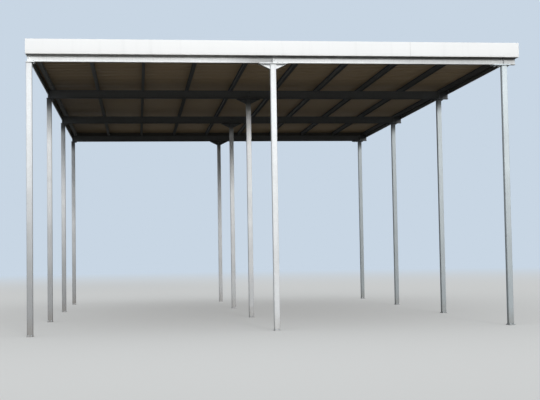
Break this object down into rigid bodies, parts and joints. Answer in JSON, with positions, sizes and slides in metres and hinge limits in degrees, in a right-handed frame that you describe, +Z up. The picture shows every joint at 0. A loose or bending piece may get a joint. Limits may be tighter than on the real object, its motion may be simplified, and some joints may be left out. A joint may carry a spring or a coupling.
{
  "type": "steel carport canopy",
  "caption": "Open flat-roofed carport of galvanised steel posts, haunched beams and purlins, with a ribbed deck and a white folded fascia.",
  "frame": {"origin": "centre of the roof's outline at the level of the feet", "axes": "+X to the right along the front, +Y from the front to the back, +Z up"},
  "size_m": [10.335, 15.41, 6.003],
  "materials": {
    "galvanised_steel": "hot-dip galvanised, dull",
    "deck_sheet": "coated ribbed sheet, satin",
    "fascia_sheet": "white coated sheet, satin"
  },
  "bodies": {
    "root": {"post_front_left": "galvanised_steel", "post_front_centre": "galvanised_steel", "post_front_right": "galvanised_steel", "beam_front_left": "galvanised_steel", "beam_front_right": "galvanised_steel", "haunches_front": "galvanised_steel", "post_second_left": "galvanised_steel", "post_second_centre": "galvanised_steel", "post_second_right": "galvanised_steel", "beam_second_left": "galvanised_steel", "beam_second_right": "galvanised_steel", "haunches_second": "galvanised_steel", "post_third_left": "galvanised_steel", "post_third_centre": "galvanised_steel", "post_third_right": "galvanised_steel", "beam_third_left": "galvanised_steel", "beam_third_right": "galvanised_steel", "haunches_third": "galvanised_steel", "post_back_left": "galvanised_steel", "post_back_centre": "galvanised_steel", "post_back_right": "galvanised_steel", "beam_back_left": "galvanised_steel", "beam_back_right": "galvanised_steel", "haunches_back": "galvanised_steel", "purlin_1": "galvanised_steel", "purlin_2": "galvanised_steel", "purlin_3": "galvanised_steel", "purlin_4": "galvanised_steel", "purlin_5": "galvanised_steel", "purlin_6": "galvanised_steel", "purlin_7": "galvanised_steel", "purlin_8": "galvanised_steel", "purlin_9": "galvanised_steel", "purlin_10": "galvanised_steel", "deck_front": "deck_sheet", "deck_middle": "deck_sheet", "deck_back": "deck_sheet", "fascia_front": "fascia_sheet", "fascia_right": "fascia_sheet", "fascia_back": "fascia_sheet", "fascia_left": "fascia_sheet"}
  },
  "joints": []
}
